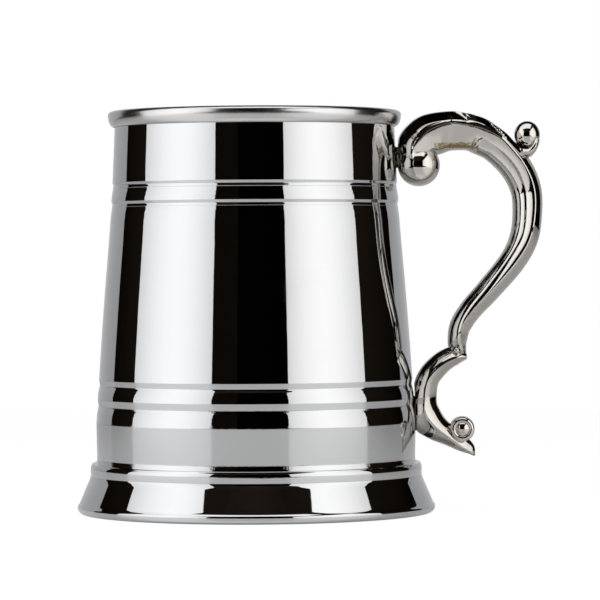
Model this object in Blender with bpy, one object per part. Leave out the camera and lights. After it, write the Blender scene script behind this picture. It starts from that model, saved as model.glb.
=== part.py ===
"""A one-pint stainless steel tankard: sheet drum, capped rim, pressed floor, flared foot and one
cast scroll handle brazed to the wall. Metres, +Z up, the foot's land on Z = 0."""

import math

import bmesh
import bpy
from mathutils import Matrix, Vector

MM = 0.001

# Clearance and sheet
GAP = 0.3 * MM
WALL_SHEET = 1.0 * MM
FLOOR_SHEET = 1.0 * MM
FOOT_SHEET = 0.9 * MM
SOLDER_THICKNESS = 0.4 * MM
BRAZE_THICKNESS = 0.5 * MM

# The drum: its height, the seam with the foot, and its outer radii at the two ends
OVERALL_HEIGHT = 120.0 * MM
SEAM_Z = 16.2 * MM
WALL_TAIL = 3.8 * MM
SEAM_RADIUS = 47.55 * MM
TOP_RADIUS = 41.70 * MM

# The belly and the two steps above the foot: each one's height above the last, and how far it
# stands out from the straight line between the two end radii
BELLY_RISE = 10.4 * MM
BELLY_OUT = 0.71 * MM
FIRST_STEP_RISE = 5.5 * MM
FIRST_STEP_OUT = 0.46 * MM
FIRST_STEP_HEIGHT = 2.5 * MM
SECOND_STEP_RISE = 6.1 * MM
SECOND_STEP_OUT = 0.38 * MM
SECOND_STEP_HEIGHT = 1.9 * MM

# The two steps under the rim: the upper one's depth below the rim, the lower one's depth below
# the upper one, and how far they stand in from that line
FOURTH_STEP_DROP = 22.9 * MM
FOURTH_STEP_IN = 0.55 * MM
FOURTH_STEP_HEIGHT = 1.3 * MM
THIRD_STEP_DROP = 5.2 * MM
THIRD_STEP_IN = 0.48 * MM
THIRD_STEP_HEIGHT = 0.9 * MM
STEP_DEPTH = 0.22 * MM
WALL_SWELL = 0.2 * MM

# Rim ring
BEAD_RADIUS = 2.1 * MM
BEAD_FLAT = 0.6 * MM
CAP_ROUNDING = 1.0 * MM
CAP_EDGE = 0.8 * MM

# Floor disc
FLANGE_INSET = 0.6 * MM
FLANGE_HEIGHT = 4.0 * MM
FLOOR_INNER_BEND = 0.6 * MM

# Foot skirt
POCKET_RISE = 1.1 * MM
COLLAR_HEIGHT = 2.7 * MM
FOOT_FLARE = 4.0 * MM
LIP_RADIUS = 1.8 * MM
LIP_START = 22
LAND_WIDTH = 1.3 * MM
LIP_WIDTH = 3.0 * MM

# Solder ring
SOLDER_HEIGHT = 1.5 * MM

# Joints of the handle on the wall
UPPER_JOINT_DROP = 14.8 * MM
UPPER_PAD_RADIUS = 3.4 * MM
LOWER_JOINT_Z = 29.1 * MM
LOWER_PAD_HEIGHT = 11.0 * MM
LOWER_PAD_WIDTH = 6.4 * MM
PAD_ROUNDING = 1.5 * MM

# The upper scroll end: its clearance to the wall before the seat is cut, and how far its centre
# lies below the upper joint
SCROLL_END_RADIUS = 6.4 * MM
SCROLL_END_HALF_WIDTH = 7.0 * MM
SCROLL_END_STANDOFF = 0.2 * MM
SCROLL_END_DROP = 1.3 * MM

# The thumb knob, back from and above the tongue's tip
KNOB_RADIUS = 3.6 * MM
KNOB_BACK = 3.0 * MM
KNOB_LIFT = 0.8 * MM

# The lower ball, out from and above the root of the spur
BALL_RADIUS = 3.7 * MM
BALL_HALF_WIDTH = 4.9 * MM
BALL_OUT = 0.5 * MM
BALL_LIFT = 5.2 * MM

# Stations of the handle in millimetres: out from the wall, height above the lower joint,
# inner depth, outer crown and half width, all measured from the line of its sharp edge
GRIP_STATIONS = (
    (2.0, 74.8, 4.0, 0.6, 4.4),
    (2.6, 79.0, 5.2, 0.8, 5.0),
    (4.3, 83.2, 6.6, 1.3, 5.6),
    (9.0, 86.4, 9.2, 1.7, 6.2),
    (16.2, 87.7, 9.2, 1.6, 6.4),
    (25.1, 86.9, 9.0, 1.4, 6.4),
    (32.3, 82.3, 7.8, 1.7, 6.4),
    (37.6, 75.3, 7.1, 2.4, 6.4),
    (40.4, 67.7, 7.1, 2.4, 6.3),
    (40.1, 59.4, 6.8, 2.4, 6.2),
    (37.9, 51.9, 5.9, 2.8, 6.1),
    (33.2, 45.0, 4.9, 3.1, 5.9),
    (25.4, 36.8, 4.3, 3.1, 5.7),
    (19.3, 30.9, 3.8, 3.1, 5.5),
    (16.0, 26.3, 3.6, 3.0, 5.3),
    (15.4, 22.0, 3.9, 2.2, 5.1),
    (16.1, 18.5, 4.0, 0.8, 4.9),
)
SPUR_ROOT = (13.6, -9.6, 1.8, 3.0, 3.2)
SCROLL_STATIONS = (
    (16.8, 17.4, 0.6, 0.6, 4.6),
    (14.1, 16.9, 2.8, 1.8, 4.9),
    (10.7, 15.9, 4.1, 2.4, 5.0),
    (7.8, 13.4, 4.3, 2.5, 5.0),
    (5.0, 10.7, 3.7, 3.2, 5.0),
    (3.7, 8.0, 3.4, 3.5, 5.0),
    (3.0, 4.7, 3.8, 3.8, 5.0),
    (3.0, 1.7, 4.2, 4.1, 5.0),
    (4.1, -1.0, 5.4, 4.2, 5.0),
    (6.6, -4.0, 4.3, 3.6, 4.8),
    (10.2, -7.0, 2.8, 3.2, 4.2),
    SPUR_ROOT,
    (15.7, -11.1, 1.0, 2.2, 1.9),
    (17.1, -12.5, 0.25, 0.3, 0.7),
)
TONGUE_STATIONS = (
    (32.5, 77.8, 1.8, 1.6, 2.4),
    (36.4, 78.2, 1.9, 1.6, 3.0),
    (39.8, 78.9, 1.8, 1.7, 3.4),
    (42.1, 80.8, 1.2, 1.2, 3.0),
    (43.1, 83.4, 0.5, 0.5, 1.6),
)

# Leaf on the arch of the handle
LEAF_START = 0.03
LEAF_END = 0.42
LEAF_LIFT = 2.1 * MM
LEAF_END_LIFT = 0.5 * MM
LEAF_OVERHANG = 0.45 * MM
LEAF_LOBES = 4
LEAF_LOBE_DEPTH = 1.3 * MM

# Facets
TURN_SEGMENTS = 64
ARC_SEGMENTS = 5
SPAN_STEPS = 3
INNER_SIDES = 8
CROWN_SIDES = 4
BALL_SEGMENTS = 20
BALL_RINGS = 12
SHARP_ANGLE = math.radians(35)

# Colours, as linear base colour with roughness
STEEL = (0.66, 0.67, 0.68)
WARM_STEEL = (0.66, 0.63, 0.58)
SOLDER = (0.42, 0.41, 0.39)
POLISHED = 0.05
PLAIN = 0.3


def clear_scene():
    """Remove every object that the file holds."""
    for thing in list(bpy.data.objects):
        bpy.data.objects.remove(thing, do_unlink=True)


def finish(name, mesh, axis, colour, roughness):
    """Link a mesh as one named object on the drum's axis, with its own material."""
    mesh.name = name
    mesh.shade_smooth()
    mesh.set_sharp_from_angle(angle=SHARP_ANGLE)
    thing = bpy.data.objects.new(name, mesh)
    bpy.context.collection.objects.link(thing)
    thing.parent = axis
    material = bpy.data.materials.new(name + "_metal")
    material.use_nodes = True
    shader = material.node_tree.nodes["Principled BSDF"]
    shader.inputs["Base Color"].default_value = (*colour, 1.0)
    shader.inputs["Metallic"].default_value = 1.0
    shader.inputs["Roughness"].default_value = roughness
    mesh.materials.clear()
    mesh.materials.append(material)
    return thing


def mesh_from(bm, name):
    """Close a bmesh into a mesh whose faces look outwards."""
    bmesh.ops.recalc_face_normals(bm, faces=bm.faces)
    mesh = bpy.data.meshes.new(name)
    bm.to_mesh(mesh)
    bm.free()
    return mesh


def revolve(name, outline, closed=True):
    """Spin an outline of (radius, height) points about Z into a closed body."""
    bm = bmesh.new()
    verts = [bm.verts.new((radius, 0.0, height)) for radius, height in outline]
    pairs = list(zip(verts, verts[1:]))
    if closed:
        pairs.append((verts[-1], verts[0]))
    edges = [bm.edges.new(pair) for pair in pairs]
    bmesh.ops.spin(
        bm,
        geom=verts + edges,
        axis=(0.0, 0.0, 1.0),
        cent=(0.0, 0.0, 0.0),
        angle=math.tau,
        steps=TURN_SEGMENTS,
    )
    bmesh.ops.remove_doubles(bm, verts=bm.verts, dist=0.001 * MM)
    return mesh_from(bm, name)


def arc(centre, radii, start, end, segments=ARC_SEGMENTS):
    """Points of an elliptical arc, with angles in degrees from +radius towards +height."""
    points = []
    for i in range(segments + 1):
        angle = math.radians(start + (end - start) * i / segments)
        points.append((centre[0] + radii[0] * math.cos(angle), centre[1] + radii[1] * math.sin(angle)))
    return points


def cap_z():
    """The height of the underside of the rim ring's cap."""
    return OVERALL_HEIGHT - CAP_ROUNDING - CAP_EDGE


def wall_top_z():
    """The height of the wall's upper edge, under the rim ring's cap."""
    return cap_z() - GAP


def wall_end_z():
    """The height of the wall's lower edge, inside the foot skirt."""
    return SEAM_Z - WALL_TAIL


def taper(height):
    """The outer radius on the straight line from the seam to the wall's upper edge."""
    share = (height - SEAM_Z) / (wall_top_z() - SEAM_Z)
    return SEAM_RADIUS + (TOP_RADIUS - SEAM_RADIUS) * share


def step(low_z, height, out):
    """The two points of a step, where the wall draws in on its way down."""
    radius = taper(low_z) + out
    return [(radius, low_z), (radius + STEP_DEPTH, low_z + height)]


def wall_outline(offset=0.0):
    """The wall's outer outline from its lower end to its upper end, moved outwards by offset."""
    belly_z = SEAM_Z + BELLY_RISE
    first_z = belly_z + FIRST_STEP_RISE
    fourth_z = OVERALL_HEIGHT - FOURTH_STEP_DROP
    low = step(first_z, FIRST_STEP_HEIGHT, FIRST_STEP_OUT)
    low += step(first_z + SECOND_STEP_RISE, SECOND_STEP_HEIGHT, SECOND_STEP_OUT)
    high = step(fourth_z - THIRD_STEP_DROP, THIRD_STEP_HEIGHT, -THIRD_STEP_IN)
    high += step(fourth_z, FOURTH_STEP_HEIGHT, -FOURTH_STEP_IN)
    (low_radius, low_z), (high_radius, high_z) = low[-1], high[0]
    main = []
    for i in range(1, ARC_SEGMENTS):
        share = i / ARC_SEGMENTS
        radius = low_radius + (high_radius - low_radius) * share
        swell = WALL_SWELL * math.sin(math.pi * share)
        main.append((radius + swell, low_z + (high_z - low_z) * share))
    foot = [
        (SEAM_RADIUS, wall_end_z()),
        (SEAM_RADIUS, SEAM_Z),
        (taper(belly_z) + BELLY_OUT, belly_z),
    ]
    outline = foot + low + main + high + [(TOP_RADIUS, wall_top_z())]
    return [(radius + offset, height) for radius, height in outline]


def wall_radius(height):
    """The wall's outer radius at a height."""
    outline = wall_outline()
    for (low_radius, low_z), (high_radius, high_z) in zip(outline, outline[1:]):
        if height <= high_z:
            share = (height - low_z) / (high_z - low_z)
            return low_radius + (high_radius - low_radius) * share
    return outline[-1][0]


def shoulder_z():
    """The height at which the skirt's rounded shoulder meets its collar."""
    return SEAM_Z - FOOT_SHEET - POCKET_RISE


def collar_radius():
    """The skirt's outer radius at its collar, which clears the solder ring and the wall."""
    return SEAM_RADIUS + GAP + SOLDER_THICKNESS + GAP + FOOT_SHEET


def foot_radius():
    """The largest radius of the foot, at its lip."""
    return collar_radius() + FOOT_FLARE


def body_drum():
    """The tapered wall: its outer outline, and the same outline one sheet further in."""
    outer = wall_outline()
    inner = wall_outline(-WALL_SHEET)
    return revolve("body_drum", outer + inner[::-1])


def rim_ring():
    """The half-round bead with its cap over the wall's upper edge."""
    seat = TOP_RADIUS + GAP
    inner = TOP_RADIUS - WALL_SHEET
    nose = TOP_RADIUS + BEAD_RADIUS
    upper_z = OVERALL_HEIGHT - BEAD_RADIUS
    rounding_z = OVERALL_HEIGHT - CAP_ROUNDING
    lower = arc((seat, upper_z - BEAD_FLAT), (nose - seat, BEAD_RADIUS), -90, 0)
    upper = arc((TOP_RADIUS, upper_z), (BEAD_RADIUS, BEAD_RADIUS), 0, 90)
    inside = arc((TOP_RADIUS, rounding_z), (WALL_SHEET, CAP_ROUNDING), 90, 180)
    return revolve("rim_ring", lower + upper + inside[1:] + [(inner, cap_z()), (seat, cap_z())])


def floor_disc():
    """The pressed floor, with its flange turned down inside the wall's lower end."""
    edge = SEAM_RADIUS - WALL_SHEET - GAP
    end_z = wall_end_z() + FLANGE_INSET
    floor_z = end_z + FLANGE_HEIGHT
    outer_bend = FLOOR_INNER_BEND + FLOOR_SHEET
    bend = (edge - outer_bend, floor_z - outer_bend)
    top = [(0.0, floor_z)] + arc(bend, (outer_bend, outer_bend), 90, 0)
    flange = [(edge, end_z), (edge - FLOOR_SHEET, end_z)]
    under = arc(bend, (FLOOR_INNER_BEND, FLOOR_INNER_BEND), 0, 90, 3)
    under.append((0.0, floor_z - FLOOR_SHEET))
    return revolve("floor_disc", top + flange + under, closed=False)


def foot_skirt():
    """The flared skirt: shoulder, collar, flare and a rounded lip with a flat land below."""
    edge = SEAM_RADIUS + GAP
    collar = collar_radius()
    collar_z = shoulder_z() - COLLAR_HEIGHT
    lip_centre = foot_radius() - LIP_RADIUS
    shoulder = arc((edge, shoulder_z()), (collar - edge, FOOT_SHEET + POCKET_RISE), 90, 0)
    lip = arc((lip_centre, LIP_RADIUS), (LIP_RADIUS, LIP_RADIUS), LIP_START, -90)
    flare_z = 2.0 * LIP_RADIUS
    slope = (lip[0][0] - collar) / (collar_z - lip[0][1])
    flare_radius = collar + slope * (collar_z - flare_z) - FOOT_SHEET
    outer = shoulder + [(collar, collar_z)] + lip
    under = arc((edge, shoulder_z()), (collar - edge - FOOT_SHEET, POCKET_RISE), 0, 90, 3)
    inner = [
        (lip_centre - LAND_WIDTH, 0.0),
        (foot_radius() - LIP_WIDTH, LIP_RADIUS),
        (flare_radius, flare_z),
        (collar - FOOT_SHEET, collar_z),
    ]
    return revolve("foot_skirt", outer + inner + under)


def foot_solder():
    """The solder ring between the wall's lower end and the skirt's collar."""
    inner = SEAM_RADIUS + GAP
    outer = inner + SOLDER_THICKNESS
    top = shoulder_z() - GAP
    bottom = top - SOLDER_HEIGHT
    return revolve("foot_solder", [(inner, bottom), (outer, bottom), (outer, top), (inner, top)])


def upper_joint_z():
    """The height of the upper joint, set below the rim."""
    return OVERALL_HEIGHT - UPPER_JOINT_DROP


def from_wall(out, height):
    """A point in the handle's plane, out from the wall and above the lower joint.

    Heights are drawn for a span that ends one SCROLL_END_DROP above the grip's first station, and
    are stretched to the span between the two joints.
    """
    span = upper_joint_z() - LOWER_JOINT_Z
    drawn_span = GRIP_STATIONS[0][1] * MM + SCROLL_END_DROP
    rise = height * span / drawn_span
    lower = wall_radius(LOWER_JOINT_Z)
    upper = wall_radius(upper_joint_z())
    line = lower + (upper - lower) * rise / span
    return Vector((line + out, 0.0, LOWER_JOINT_Z + rise))


def beside(station, out, lift):
    """A point in the handle's plane, at a distance out from and above a station."""
    return from_wall(station[0] * MM + out, station[1] * MM + lift)


def smooth_path(stations):
    """Stations on a Catmull-Rom curve through the given ones: place, inner, outer, half width."""
    rows = []
    for out, height, inner, outer, half in stations:
        place = from_wall(out * MM, height * MM)
        rows.append((place.x, place.z, inner * MM, outer * MM, half * MM))
    path = []
    for i in range(len(rows) - 1):
        before = rows[max(i - 1, 0)]
        after = rows[min(i + 2, len(rows) - 1)]
        for k in range(SPAN_STEPS):
            t = k / SPAN_STEPS
            path.append(
                [
                    0.5
                    * (
                        2 * b
                        + (c - a) * t
                        + (2 * a - 5 * b + 4 * c - d) * t * t
                        + (3 * b - a - 3 * c + d) * t * t * t
                    )
                    for a, b, c, d in zip(before, rows[i], rows[i + 1], after)
                ]
            )
    path.append(list(rows[-1]))
    return path


def path_normal(path, i):
    """The outward direction in the handle's plane at one place of a path."""
    ahead = path[min(i + 1, len(path) - 1)]
    behind = path[max(i - 1, 0)]
    run = Vector((ahead[0] - behind[0], ahead[1] - behind[1])).normalized()
    return Vector((-run.y, 0.0, run.x))


def d_section(inner, outer, half):
    """Points (along the normal, across) of a D: half-round inside, a low crown outside."""
    points = []
    for i in range(INNER_SIDES + 1):
        angle = math.pi * i / INNER_SIDES
        points.append((-inner * math.sin(angle), half * math.cos(angle)))
    for i in range(1, CROWN_SIDES):
        share = 2 * i / CROWN_SIDES - 1
        points.append((outer * (1 - share * share), half * share))
    return points


def bridge_rings(name, rings):
    """Join rings of points into one closed body with flat ends."""
    bm = bmesh.new()
    loops = []
    for ring in rings:
        verts = [bm.verts.new(point) for point in ring]
        loops.append([bm.edges.new((a, b)) for a, b in zip(verts, verts[1:] + verts[:1])])
    for here, there in zip(loops, loops[1:]):
        bmesh.ops.bridge_loops(bm, edges=here + there)
    for loop in (loops[0], loops[-1]):
        bmesh.ops.contextual_create(bm, geom=loop)
    return mesh_from(bm, name)


def sweep(name, stations):
    """A D section carried along a curve through the stations."""
    path = smooth_path(stations)
    rings = []
    for i, (x, z, inner, outer, half) in enumerate(path):
        normal = path_normal(path, i)
        centre = Vector((x, 0.0, z))
        section = d_section(inner, outer, half)
        rings.append([centre + normal * n + Vector((0.0, across, 0.0)) for n, across in section])
    return bridge_rings(name, rings)


def leaf():
    """The lobed leaf that lies over the back of the arch, from the scroll end to its tip."""
    path = smooth_path(GRIP_STATIONS)
    first = round(LEAF_START * (len(path) - 1))
    last = round(LEAF_END * (len(path) - 1))
    rings = []
    for i in range(first, last + 1):
        x, z, inner, outer, half = path[i]
        share = (i - first) / (last - first)
        narrow = math.sqrt(1.0 - 0.9 * share * share)
        lobe = LEAF_LOBE_DEPTH * abs(math.cos(math.pi * LEAF_LOBES * share)) * narrow
        edge = (half + LEAF_OVERHANG) * narrow
        lift = outer + LEAF_LIFT + (LEAF_END_LIFT - LEAF_LIFT) * share
        shelf = outer * (1 - narrow * narrow)
        section = (
            (shelf - LEAF_LIFT, edge * 0.7),
            (shelf - lobe, edge),
            (shelf + 0.45 * (lift - shelf), edge * 0.72),
            (lift, 0.0),
            (shelf + 0.45 * (lift - shelf), -edge * 0.72),
            (shelf - lobe, -edge),
            (shelf - LEAF_LIFT, -edge * 0.7),
        )
        normal = path_normal(path, i)
        centre = Vector((x, 0.0, z))
        rings.append([centre + normal * n + Vector((0.0, across, 0.0)) for n, across in section])
    return bridge_rings("leaf", rings)


def ball(name, centre, radius, half_width):
    """A ball that is wider or narrower across the handle."""
    bm = bmesh.new()
    bmesh.ops.create_uvsphere(bm, u_segments=BALL_SEGMENTS, v_segments=BALL_RINGS, radius=radius)
    bmesh.ops.rotate(bm, verts=bm.verts, cent=(0, 0, 0), matrix=Matrix.Rotation(math.pi / 2, 3, "X"))
    bmesh.ops.scale(bm, verts=bm.verts, vec=(1.0, half_width / radius, 1.0))
    bmesh.ops.translate(bm, verts=bm.verts, vec=centre)
    return mesh_from(bm, name)


def operand(mesh):
    """An object for a Boolean, whose curved faces are split into flat triangles."""
    bm = bmesh.new()
    bm.from_mesh(mesh)
    bmesh.ops.triangulate(bm, faces=bm.faces)
    bm.to_mesh(mesh)
    bm.free()
    thing = bpy.data.objects.new(mesh.name, mesh)
    thing.hide_render = True
    thing.display_type = "WIRE"
    return thing


def combine(mesh, others, operation):
    """The mesh after one exact Boolean with all the others, which are used up."""
    thing = operand(mesh)
    bpy.context.collection.objects.link(thing)
    group = bpy.data.collections.new(mesh.name + "_operands")
    bpy.context.scene.collection.children.link(group)
    for other in others:
        group.objects.link(operand(other))
    modifier = thing.modifiers.new(operation.title(), "BOOLEAN")
    modifier.operation = operation
    modifier.solver = "EXACT"
    modifier.operand_type = "COLLECTION"
    modifier.collection = group
    graph = bpy.context.evaluated_depsgraph_get()
    result = bpy.data.meshes.new_from_object(thing.evaluated_get(graph))
    for body in (thing, *group.objects):
        bpy.data.objects.remove(body, do_unlink=True)
    bpy.data.collections.remove(group)
    return result


def wall_shell(inner, outer):
    """A shell round the wall between two distances out from it."""
    return revolve("shell", wall_outline(outer) + wall_outline(inner)[::-1])


def seat_core():
    """The solid round which the handle's two seats are cut."""
    outline = wall_outline(GAP + BRAZE_THICKNESS + GAP)
    return revolve("core", [(0.0, wall_end_z())] + outline + [(0.0, wall_top_z())], closed=False)


def scroll_handle():
    """The cast handle: arch and grip, lower scroll, tongue, leaf and three round ends."""
    grip = sweep("grip", GRIP_STATIONS)
    scroll_end = from_wall(SCROLL_END_RADIUS + SCROLL_END_STANDOFF, GRIP_STATIONS[0][1] * MM)
    knob = beside(TONGUE_STATIONS[-1], -KNOB_BACK, KNOB_LIFT)
    end_ball = beside(SPUR_ROOT, BALL_OUT, BALL_LIFT)
    additions = (
        sweep("lower_scroll", SCROLL_STATIONS),
        sweep("tongue", TONGUE_STATIONS),
        leaf(),
        ball("scroll_end", scroll_end, SCROLL_END_RADIUS, SCROLL_END_HALF_WIDTH),
        ball("knob", knob, KNOB_RADIUS, KNOB_RADIUS),
        ball("ball", end_ball, BALL_RADIUS, BALL_HALF_WIDTH),
    )
    whole = combine(grip, additions, "UNION")
    return combine(whole, (seat_core(),), "DIFFERENCE")


def upper_braze():
    """The round pad of braze under the upper scroll end."""
    bm = bmesh.new()
    across = Matrix.Rotation(math.pi / 2, 4, "Y")
    middle = Matrix.Translation((wall_radius(upper_joint_z()), 0.0, upper_joint_z()))
    bmesh.ops.create_cone(
        bm,
        cap_ends=True,
        segments=24,
        radius1=UPPER_PAD_RADIUS,
        radius2=UPPER_PAD_RADIUS,
        depth=4 * UPPER_PAD_RADIUS,
        matrix=middle @ across,
    )
    pad = mesh_from(bm, "upper_pad")
    return combine(pad, (wall_shell(GAP, GAP + BRAZE_THICKNESS),), "INTERSECT")


def lower_braze():
    """The upright pad of braze under the lower scroll, with rounded corners."""
    bm = bmesh.new()
    bmesh.ops.create_cube(bm, size=1.0)
    size = (4 * LOWER_PAD_WIDTH, LOWER_PAD_WIDTH, LOWER_PAD_HEIGHT)
    bmesh.ops.scale(bm, verts=bm.verts, vec=size)
    corners = [e for e in bm.edges if abs(e.verts[0].co.x - e.verts[1].co.x) > LOWER_PAD_WIDTH]
    bmesh.ops.bevel(bm, geom=corners, offset=PAD_ROUNDING, segments=4, profile=0.5, affect="EDGES")
    middle = (wall_radius(LOWER_JOINT_Z), 0.0, LOWER_JOINT_Z)
    bmesh.ops.translate(bm, verts=bm.verts, vec=middle)
    pad = mesh_from(bm, "lower_pad")
    return combine(pad, (wall_shell(GAP, GAP + BRAZE_THICKNESS),), "INTERSECT")


def main():
    """Build the eight pieces on the drum's axis, then centre the whole on X = 0."""
    clear_scene()
    axis = bpy.data.objects.new("drum_axis", None)
    bpy.context.collection.objects.link(axis)
    finish("body_drum", body_drum(), axis, STEEL, POLISHED)
    finish("rim_ring", rim_ring(), axis, STEEL, POLISHED)
    finish("floor_disc", floor_disc(), axis, STEEL, PLAIN)
    finish("foot_skirt", foot_skirt(), axis, STEEL, POLISHED)
    finish("foot_solder", foot_solder(), axis, SOLDER, PLAIN)
    handle = finish("scroll_handle", scroll_handle(), axis, WARM_STEEL, POLISHED)
    finish("upper_braze", upper_braze(), axis, SOLDER, PLAIN)
    finish("lower_braze", lower_braze(), axis, SOLDER, PLAIN)
    reach = max(vertex.co.x for vertex in handle.data.vertices)
    axis.location.x = (foot_radius() - reach) / 2


main()
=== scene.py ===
# %% [markdown]
# # A stainless steel tankard, one piece at a time
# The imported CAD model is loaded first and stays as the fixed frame. It says where each part of the
# tankard is, in metres. Every visible piece is then modelled again at the same place with finer
# curves, because polished steel shows its shape only through what it reflects: a mirror forgives no
# flat facet.

# %% Load the fixed frame
import math

import bmesh
import bpy
from mathutils import Matrix, Vector


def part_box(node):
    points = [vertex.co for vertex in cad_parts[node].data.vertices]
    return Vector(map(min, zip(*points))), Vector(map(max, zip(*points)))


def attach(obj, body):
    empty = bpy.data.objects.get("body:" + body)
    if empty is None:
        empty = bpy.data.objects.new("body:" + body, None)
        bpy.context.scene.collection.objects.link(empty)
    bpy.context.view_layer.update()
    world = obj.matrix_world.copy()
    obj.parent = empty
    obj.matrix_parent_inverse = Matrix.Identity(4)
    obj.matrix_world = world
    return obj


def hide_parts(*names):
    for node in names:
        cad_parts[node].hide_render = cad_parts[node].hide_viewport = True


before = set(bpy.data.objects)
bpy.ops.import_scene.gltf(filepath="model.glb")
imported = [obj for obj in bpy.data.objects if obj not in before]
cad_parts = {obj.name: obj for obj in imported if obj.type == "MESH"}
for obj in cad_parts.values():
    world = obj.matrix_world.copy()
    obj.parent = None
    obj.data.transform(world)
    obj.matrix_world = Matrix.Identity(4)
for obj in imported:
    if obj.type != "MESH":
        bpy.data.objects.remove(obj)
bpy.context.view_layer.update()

MM = 0.001
low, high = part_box("body_drum")
AXIS_X = (low.x + high.x) / 2
print("the drum's axis stands at x =", round(AXIS_X / MM, 3), "mm")

# %% [markdown]
# ## The camera
# The photograph was taken from two thirds of the tankard's height, from far away and with a long
# lens: the rim and the foot curve only slightly. A 216 mm lens a little over a metre from the tankard
# gives the same curves. The camera looks seven tenths of a degree downwards and leans by three
# tenths of a degree.

# %% Place the camera
CAMERA_OFFSET = 13.4 * MM
CAMERA_DISTANCE = 1077.5 * MM
CAMERA_HEIGHT = 76.3 * MM
LENS_MM = 216
LOOK_DOWN = 0.685
LEAN = 0.005
lens = bpy.data.cameras.new("camera")
lens.lens = LENS_MM
camera = bpy.data.objects.new("camera", lens)
bpy.context.collection.objects.link(camera)
place = Matrix.Translation((AXIS_X + CAMERA_OFFSET, -CAMERA_DISTANCE, CAMERA_HEIGHT))
lean = Matrix.Rotation(LEAN, 4, "Y")
tilt = Matrix.Rotation(math.radians(90 - LOOK_DOWN), 4, "X")
camera.matrix_world = place @ lean @ tilt
bpy.context.scene.camera = camera
bpy.context.scene.view_settings.view_transform = "Standard"
print("camera at", [round(value / MM, 1) for value in camera.location], "mm")

# %% [markdown]
# ## The studio
# A mirror-like drum is lit by giving it something to reflect. Two large upright softboxes stand left
# and right, a third hangs overhead, and dark cloth fills the gaps between them. The gap in front
# becomes the dark strip down the middle of the drum. A pale table and a pale backdrop fill the rest.

# %% A helper for flat panels
def flat(place):
    """A range without length."""
    return (place, place)


def panel(name, xs, ys, zs, material, seen=False):
    """Add a rectangle over three ranges in millimetres, one of them flat."""
    bpy.ops.object.select_all(action="DESELECT")
    bpy.ops.mesh.primitive_plane_add(size=1)
    sheet = bpy.context.object
    sheet.name = name
    runs = ((xs[1] - xs[0], 0, 0), (0, ys[1] - ys[0], 0), (0, 0, zs[1] - zs[0]))
    right, top = (Vector(run) * MM for run in runs if any(run))
    middle = Vector((AXIS_X, 0, 0)) + Vector((xs[0], ys[0], zs[0])) * MM + (right + top) / 2
    turn = Matrix((right.normalized(), top.normalized(), right.cross(top).normalized())).transposed()
    size = Matrix.Diagonal((right.length, top.length, 1, 1))
    sheet.matrix_world = Matrix.Translation(middle) @ turn.to_4x4() @ size
    sheet.data.materials.append(material)
    sheet.visible_camera = seen


# %% [markdown]
# ### Studio materials
# A softbox glows a little less towards its edges. Its material is an Emission shader whose strength
# falls off with the distance from the middle, read from the panel's own Object coordinates. The dark
# cloth is a nearly black brown. The table is a plain pale surface: what the camera and the metal see
# of it is lifted towards white, and the tankard's shadow stays in the rest.

# %% Softbox, cloth and table materials
# Where the softboxes are, in millimetres from the middle of the tankard's foot.
SIDE_DISTANCE = 500
LEFT_Y, LEFT_Z = (-846, 42), (0, 640)
RIGHT_Y, RIGHT_Z = (-1143, -54), (0, 595)
TOP_X, TOP_Y, TOP_Z = (-750, 412), (-490, 150), 750
BELL_STOPS, BELL_POWER = 9, 1.8
PAPER_ROUGHNESS, PAPER_WHITE = 0.28, 1.06


def new_material(name):
    """An empty node material, with its node tree and its output."""
    material = bpy.data.materials.new(name)
    material.use_nodes = True
    tree = material.node_tree
    tree.nodes.clear()
    output = tree.nodes.new("ShaderNodeOutputMaterial")
    output.location = (600, 0)
    return material, tree, output


def math_node(tree, operation, first, second=None, third=None):
    """Add a Math node, linking sockets and setting numbers."""
    node = tree.nodes.new("ShaderNodeMath")
    node.operation = operation
    for socket, value in zip(node.inputs, (first, second, third)):
        if isinstance(value, (int, float)):
            socket.default_value = value
        elif value is not None:
            tree.links.new(value, socket)
    return node.outputs[0]


def object_place(tree):
    """The place on the object, whole and split into X, Y and Z."""
    place = tree.nodes.new("ShaderNodeTexCoord").outputs["Object"]
    split = tree.nodes.new("ShaderNodeSeparateXYZ")
    tree.links.new(place, split.inputs[0])
    return place, split.outputs


def grey_ramp(tree, value, rows):
    """A colour ramp of greys over a value, from rows of position and grey with both ends first."""
    ramp = tree.nodes.new("ShaderNodeValToRGB")
    stops = ramp.color_ramp.elements
    for i, (position, grey) in enumerate(rows):
        stop = stops[i] if i < 2 else stops.new(position)
        stop.position = position
        stop.color = (grey, grey, grey, 1)
    tree.links.new(value, ramp.inputs["Fac"])
    return ramp.outputs["Color"]


def glow(name, strength, dimming, ys, tint=(1, 1, 1)):
    """A softbox front, brightest along an upright line and dimmer towards its two upright edges."""
    material, tree, output = new_material(name)
    across = object_place(tree)[1]["X"]
    rows = [(position, 1 - dimming * share) for position, share in bell(*ys)]
    shares = grey_ramp(tree, math_node(tree, "ADD", across, 0.5), rows)
    light = tree.nodes.new("ShaderNodeEmission")
    light.inputs["Color"].default_value = (*tint, 1)
    tree.links.new(math_node(tree, "MULTIPLY", shares, strength), light.inputs["Strength"])
    tree.links.new(light.outputs[0], output.inputs["Surface"])
    return material


def bell(front, back):
    """Places on a softbox and how dim each is, both ends first, so that the drum mirrors an even bell."""
    start, end = (math.sin(math.atan2(SIDE_DISTANCE, -y) / 2) for y in (front, back))
    rows = []
    for i in range(BELL_STOPS):
        share = i / (BELL_STOPS - 1)
        angle = 2 * math.asin(start + (end - start) * share)
        y = -SIDE_DISTANCE / math.tan(angle)
        rows.append(((y - front) / (back - front), abs(2 * share - 1) ** BELL_POWER))
    return [rows[0], rows[-1]] + rows[1:-1]


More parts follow.
